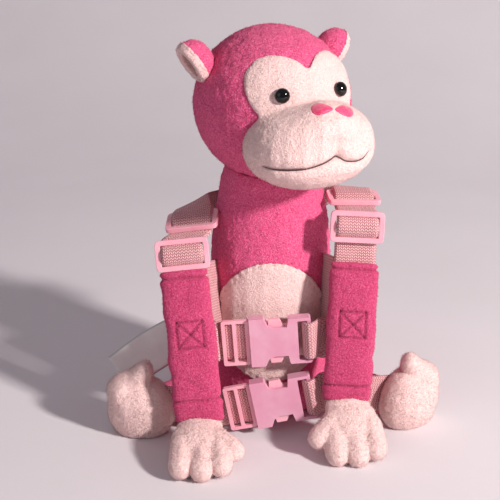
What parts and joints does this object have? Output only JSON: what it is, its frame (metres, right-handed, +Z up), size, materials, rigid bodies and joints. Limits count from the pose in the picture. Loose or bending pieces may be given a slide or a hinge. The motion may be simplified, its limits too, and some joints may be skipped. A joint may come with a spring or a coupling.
{
  "type": "toddler harness backpack",
  "caption": "Seated plush monkey harness whose padded arms are shoulder straps, closed across its belly by two webbing straps with buckles.",
  "frame": {"origin": "middle of the flat seat under the body, on the floor", "axes": "+Z up through the head, -Y the way the belly and buckles face, +X to the right as seen from the front"},
  "size_m": [0.2112, 0.1479, 0.2445],
  "materials": {
    "pink_plush": "matte",
    "pale_plush": "matte",
    "webbing": "matte",
    "slide_plastic": "glossy",
    "buckle_plastic": "satin",
    "eye_plastic": "glossy",
    "nose_plush": "matte",
    "label_satin": "satin"
  },
  "bodies": {
    "root": {"head": "pink_plush", "torso": "pink_plush", "face_mask": "pale_plush", "muzzle": "pale_plush", "belly_patch": "pale_plush", "eye_left": "eye_plastic", "nostril_left": "nose_plush", "ear_outer_left": "pink_plush", "ear_inner_left": "pale_plush", "arm_left": "pink_plush", "hand_left": "pale_plush", "leg_left": "pink_plush", "foot_left": "pale_plush", "shoulder_web_left": "webbing", "side_web_left": "webbing", "slide_upper_left": "slide_plastic", "slide_lower_left": "slide_plastic", "eye_right": "eye_plastic", "nostril_right": "nose_plush", "ear_outer_right": "pink_plush", "ear_inner_right": "pale_plush", "arm_right": "pink_plush", "hand_right": "pale_plush", "leg_right": "pink_plush", "foot_right": "pale_plush", "shoulder_web_right": "webbing", "side_web_right": "webbing", "slide_upper_right": "slide_plastic", "slide_lower_right": "slide_plastic", "buckle_upper_plug": "slide_plastic", "buckle_upper_socket": "buckle_plastic", "chest_web_upper_left": "webbing", "chest_web_upper_right": "webbing", "buckle_lower_plug": "slide_plastic", "buckle_lower_socket": "buckle_plastic", "chest_web_lower_left": "webbing", "chest_web_lower_right": "webbing", "care_label": "label_satin"}
  },
  "joints": []
}
